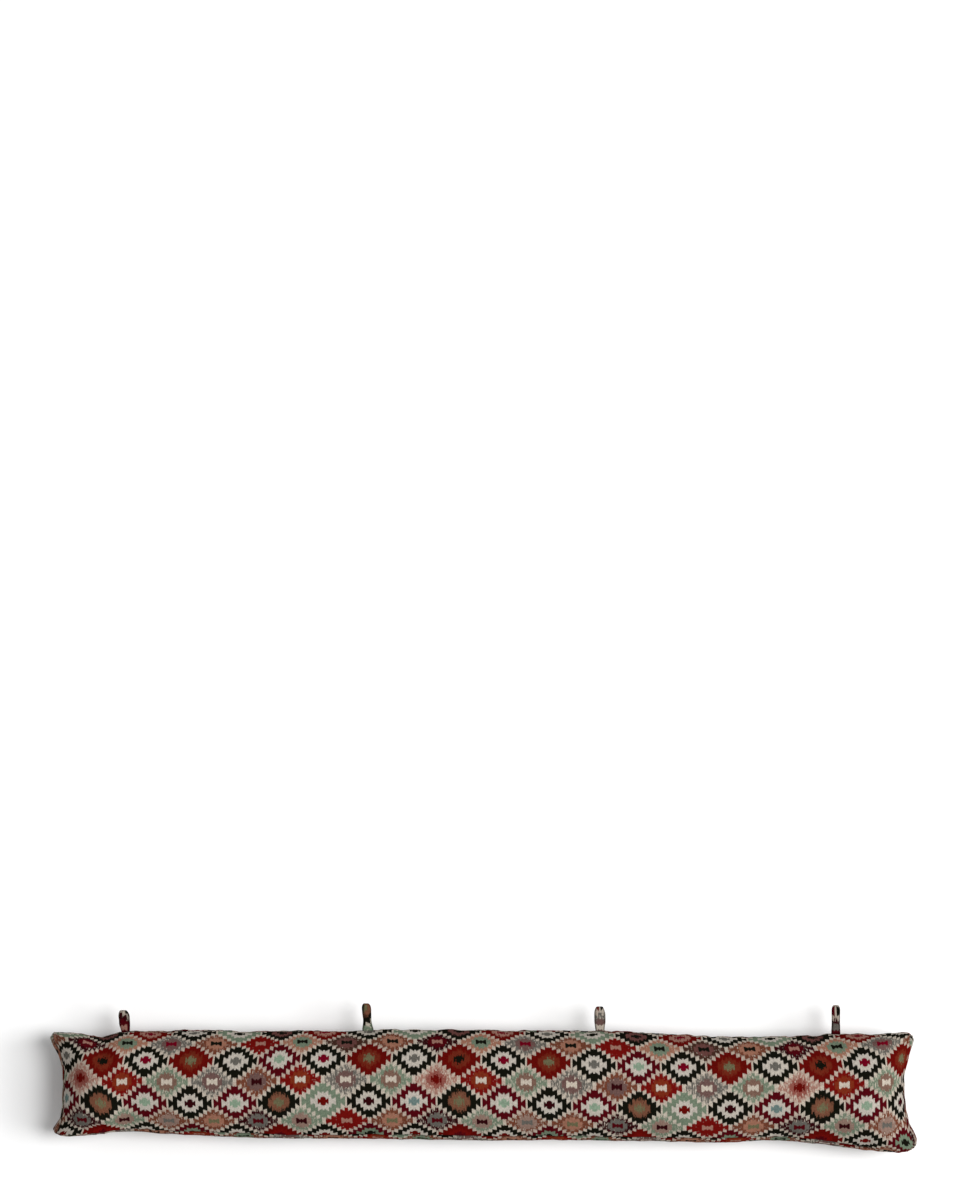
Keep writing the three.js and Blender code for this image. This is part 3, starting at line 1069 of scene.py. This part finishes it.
def kilim_cloth(context):
    """Tapestry cloth: toothed diamonds in rings of dyed yarn on a cream ground. The place on the
    cloth is snapped to whole stitches, and each layer's yarn covers the ones before it by its
    share of the stitch. Shade is painted into the yarn's colour, darker in the seam groove and on
    the loops' edges and feet. Ribs and picks are a bump."""
    cloth = context.scene.excluder_cloth
    shader = Shader(CLOTH_NAME)
    along, across = shader.parts(shader.add("ShaderNodeUVMap", {"uv_map": "cloth"}))
    stitches_along = along * (2 * STITCHES / cloth.repeat)
    stitches_across = across * (2 * STITCHES / cloth.row_repeat)
    stitch_x, stitch_y = stitches_along.floor(), stitches_across.floor()
    columns = (stitch_x + 0.5) / (2.0 * STITCHES) + cloth.first_column
    rows = cloth.first_row - (stitch_y + 0.5) / (2.0 * STITCHES)

    flat_noise = {"noise_dimensions": "2D"}
    seed = shader.add("ShaderNodeCombineXYZ", None, stitch_x, stitch_y, 0.0)
    speck = shader.add("ShaderNodeTexWhiteNoise", flat_noise, Vector=seed)
    streak_x, streak_y = stitch_x * STREAK["along"], stitch_y * STREAK["across"]
    streak_place = shader.add("ShaderNodeCombineXYZ", None, streak_x, streak_y, 0.0)
    streak = shader.add("ShaderNodeTexNoise", flat_noise, Vector=streak_place, Scale=1.0, Detail=1.0)
    fray = (streak - 0.5) * FRAY["streaks"] + (speck - 0.5) * FRAY["stitches"]

    ground = (*cloth.ground, 1.0)
    ring, small = small_diamonds(columns + 0.5, rows - 0.5, streak, fray, ground)
    rosy, large = large_diamonds(columns, rows, fray)
    blush = shader.mix(rosy * GROUND["rosy"], ground, (*DYES["pink"], 1.0))
    colour = shader.mix(GROUND["ring"], blush, ring)
    for share, yarn in (*small, *large):
        colour = shader.mix(share, colour, yarn)

    # Painted shade from the piece's attribute darkens the yarn, on top of the random grain.
    crease = shader.add("ShaderNodeAttribute", {"attribute_name": "crease"}, output=2)
    lightness = (speck * cloth.grain + (1.0 - cloth.grain / 2)) * (1.0 - crease * cloth.crease)
    grey = shader.add("ShaderNodeCombineColor", None, lightness, lightness, lightness)
    colour = shader.mix(1.0, colour, grey, "MULTIPLY")
    rib = (stitches_along * math.pi).math("SINE")
    pick = (stitches_across * math.pi).math("SINE")
    weave = abs(rib) * RELIEF["rib"] + abs(pick) * RELIEF["pick"]
    bump = shader.add(
        "ShaderNodeBump", None, Strength=RELIEF["strength"], Distance=cloth.relief, Height=weave,
    )
    return shader.finish(Base_Color=colour, Roughness=0.95, Specular_IOR_Level=0.0, Normal=bump)


def bezier(points, s):
    """A cubic curve by its four control points."""
    a, b, c, d = (np.asarray(point, float) for point in points)
    s = s[:, None]
    return a * (1 - s) ** 3 + 3 * b * s * (1 - s) ** 2 + 3 * c * s * s * (1 - s) + d * s**3


def loop_path(settings, length):
    """Middle line of the strip seen along the cover: up one leg as a cubic curve, round half an
    ellipse and down the other leg. Columns are depth and height."""
    half = settings.depth / 2 - settings.strip / 2
    stem = settings.strip / 2 + LEG_GAP / 2 * MM
    shoulder = length - settings.bight
    lower = shoulder - settings.bight
    control = [(stem, 0), (stem, settings.tack), (half, lower), (half, shoulder)]
    leg = bezier(control, np.linspace(0, 1, STRIP["stations"]))
    turn = np.linspace(0, math.pi, STRIP["stations"])[1:-1]
    bight_height = settings.bight - settings.strip / 2
    bight = np.stack([half * np.cos(turn), shoulder + bight_height * np.sin(turn)], 1)
    return np.concatenate([leg, bight, leg[::-1] * [-1, 1]])


def strip_section(settings, path, width):
    """Points round the strip at each station of its path: across the strip, in depth and in
    height. The section is a rounded oblong, a circle whose two waves are raised to powers, and
    its last edge is lapped inside the first."""

    def rounded(wave, power):
        return np.sign(wave) * np.abs(wave) ** power

    tangent = np.gradient(path, axis=0)
    tangent /= np.linalg.norm(tangent, axis=1, keepdims=True)
    outward = np.stack([tangent[:, 1], -tangent[:, 0]], 1)
    turn = np.linspace(-math.pi / 2, 1.5 * math.pi, STRIP["sides"])
    lap = np.linspace(1, STRIP["lap"], STRIP["sides"])
    across = rounded(np.cos(turn), STRIP["edge_power"])[None, :] * width / 2
    thick = (rounded(np.sin(turn), STRIP["face_power"]) * lap)[None, :] * settings.strip / 2
    depth = path[:, [0]] + outward[:, [0]] * thick
    height = path[:, [1]] + outward[:, [1]] * thick
    return across, depth, height


def painted_loop_shade(across, along, width):
    """Painted shade on a loop: at the strip's turned edges, at its two feet and a little all over."""
    at_edge = np.clip((np.abs(across) / (width / 2) - LOOP_SHADE["edge"]) / LOOP_SHADE["edge_width"], 0, 1)
    at_foot = bell(np.minimum(along, along.max() - along), LOOP_SHADE["foot"] * MM)
    return np.maximum(np.maximum(at_edge, at_foot), LOOP_SHADE["least"])


def build_loop(context, size, seed):
    """A folded strip carried along the loop's path. It narrows as an ellipse at the top, spreads
    in an S-curve to its base, is twisted about its length and leans, and its foot follows the
    cover's edge."""
    settings = context.scene.excluder_loops
    cloth = context.scene.excluder_cloth

    def edge(place):
        return (column(EDGES, "x", "top", place / MM) - size["sunk"]) * MM

    x, top, width, base = (size[key] * MM for key in ("x", "top", "width", "base"))
    length = top - float(edge(x))
    path = loop_path(settings, length)
    along = arc(path, 0)[:, None]
    across, depth, height = strip_section(settings, path, width)
    waver = 1 + WAVER["share"] * ripple(along / MM + WAVER["apart"] * seed, WAVER["spacing"], seed)
    tip = np.clip((path[:, [1]] - length) / (TIP["reach"] * width) + 1, 0, 1)
    narrowing = TIP["least"] + (1 - TIP["least"]) * np.sqrt(1 - tip * tip)
    share = height / length
    spread = s_curve(np.clip(share / SPREAD, 0, 1))
    local = across * waver * narrowing * ((1 - spread) * base / width + spread)
    seating = (1 - spread) * (edge(x + local) - edge(x))
    twist = math.radians(size["twist"]) * share
    px = local * np.cos(twist) + depth * np.sin(twist) + x + size["lean"] * MM * share
    py = height + float(edge(x)) + seating + axis_offset()
    pz = -local * np.sin(twist) + depth * np.cos(twist) + LIFT + settings.rise

    stations, sides = px.shape
    index = np.arange(stations * sides).reshape(stations, sides)
    cut_x = (size["column"] - cloth.first_column) * cloth.repeat
    cut_y = (cloth.first_row - size["row"]) * cloth.row_repeat
    places = np.stack(np.broadcast_arrays(across + cut_x, along + cut_y), -1)
    piece = make_piece(
        size["name"] + "_strip", np.stack([px, py, pz], -1).reshape(-1, 3),
        grid_corners(index.T).reshape(-1, 4).tolist(),
        grid_corners(places.swapaxes(0, 1)).reshape(-1, 2), painted_loop_shade(across, along, width),
        bpy.data.materials.get(CLOTH_NAME) or kilim_cloth(context), [size["name"]],
    )
    2 * width
    return piece


def build_floor(settings):
    """A pale floor, far larger than the picture, under even light from all sides."""
    corners = [(-FLOOR_HALF, -FLOOR_HALF, 0), (FLOOR_HALF, -FLOOR_HALF, 0)]
    corners += [(FLOOR_HALF, FLOOR_HALF, 0), (-FLOOR_HALF, FLOOR_HALF, 0)]
    mesh = bpy.data.meshes.new("floor")
    mesh.from_pydata(corners, [], [(0, 1, 2, 3)])
    paper = Shader("floor_paper")
    mesh.materials.append(paper.finish(Base_Color=(*settings.floor, 1.0), Roughness=0.95))
    floor = bpy.data.objects.new("floor", mesh)
    bpy.context.scene.collection.objects.link(floor)

    world = bpy.data.worlds.new("studio")
    world.use_nodes = True
    background = world.node_tree.nodes["Background"]
    background.inputs["Color"].default_value = (1.0, 1.0, 1.0, 1.0)
    background.inputs["Strength"].default_value = settings.sky
    bpy.context.scene.world = world


def build_lights(settings):
    """Soft round lights to the right of the object, each turned towards it."""
    for row in LIGHTS:
        light = bpy.data.lights.new(row["name"], "AREA")
        light.shape = "DISK"
        light.size = row["size"]
        light.energy = getattr(settings, row["name"])
        lamp = bpy.data.objects.new(row["name"], light)
        slant = math.radians(row["slant"])
        lamp.location = (row["away"] * math.sin(slant), 0, row["away"] * math.cos(slant))
        lamp.rotation_euler = (0, slant, 0)
        bpy.context.scene.collection.objects.link(lamp)


def build_camera(settings):
    """A camera straight above the face, turned up so that the object lies low in the picture. Its
    height is the focal length in pixels times the size of a pixel at the widest outline."""
    focal = settings.lens / SENSOR * PICTURE["height"]
    tilt = math.atan(PICTURE["object_below"] / focal)
    pixel = PICTURE["pixel"] * MM
    data = bpy.data.cameras.new("camera")
    data.lens = settings.lens
    data.sensor_width = SENSOR
    camera = bpy.data.objects.new("camera", data)
    above = LIFT + focal * pixel / math.cos(tilt)
    camera.location = (-PICTURE["object_right"] * pixel, axis_offset(), above)
    camera.rotation_euler = (tilt, 0, 0)
    scene = bpy.context.scene
    scene.collection.objects.link(camera)
    scene.camera = camera
    scene.view_settings.view_transform = "Standard"


class EXCLUDER_OT_cover(bpy.types.Operator):
    """Makes the stuffed cover"""

    bl_idname = "excluder.cover"
    bl_label = "Make the cover"

    def execute(self, context):
        build_cover(context)
        return {"FINISHED"}


class EXCLUDER_OT_loops(bpy.types.Operator):
    """Makes the four hanging loops"""

    bl_idname = "excluder.loops"
    bl_label = "Make the loops"

    def execute(self, context):
        for seed, size in enumerate(LOOPS, 1):
            build_loop(context, size, seed)
        return {"FINISHED"}


class EXCLUDER_OT_stage(bpy.types.Operator):
    """Makes the floor, the lights and the camera"""

    bl_idname = "excluder.stage"
    bl_label = "Make the stage"

    def execute(self, context):
        settings = context.scene.excluder_stage
        build_floor(settings)
        build_lights(settings)
        build_camera(settings)
        return {"FINISHED"}


class EXCLUDER_PT_panel(bpy.types.Panel):
    """Lists the steps"""

    bl_idname = "EXCLUDER_PT_panel"
    bl_label = "Draught excluder"
    bl_space_type = "VIEW_3D"
    bl_region_type = "UI"
    bl_category = "Draught excluder"

    def draw(self, context):
        for group, step in (
            ("excluder_cover", "excluder.cover"),
            ("excluder_loops", "excluder.loops"),
            ("excluder_cloth", None),
            ("excluder_stage", "excluder.stage"),
        ):
            box = self.layout.box()
            settings = getattr(context.scene, group)
            for name in settings.__annotations__:
                box.prop(settings, name)
            if step:
                box.operator(step)


GROUPS = {
    "excluder_cover": CoverSettings,
    "excluder_loops": LoopSettings,
    "excluder_cloth": ClothSettings,
    "excluder_stage": StageSettings,
}
CLASSES = (
    *GROUPS.values(), EXCLUDER_OT_cover, EXCLUDER_OT_loops, EXCLUDER_OT_stage, EXCLUDER_PT_panel,
)


def register():
    for item in CLASSES:
        bpy.utils.register_class(item)
    for name, group in GROUPS.items():
        setattr(bpy.types.Scene, name, bpy.props.PointerProperty(type=group))


def unregister():
    for name in GROUPS:
        delattr(bpy.types.Scene, name)
    for item in reversed(CLASSES):
        bpy.utils.unregister_class(item)


def main():
    register()
    bpy.ops.excluder.cover()
    bpy.ops.excluder.loops()
    bpy.ops.excluder.stage()


if __name__ == "__main__":
    main()
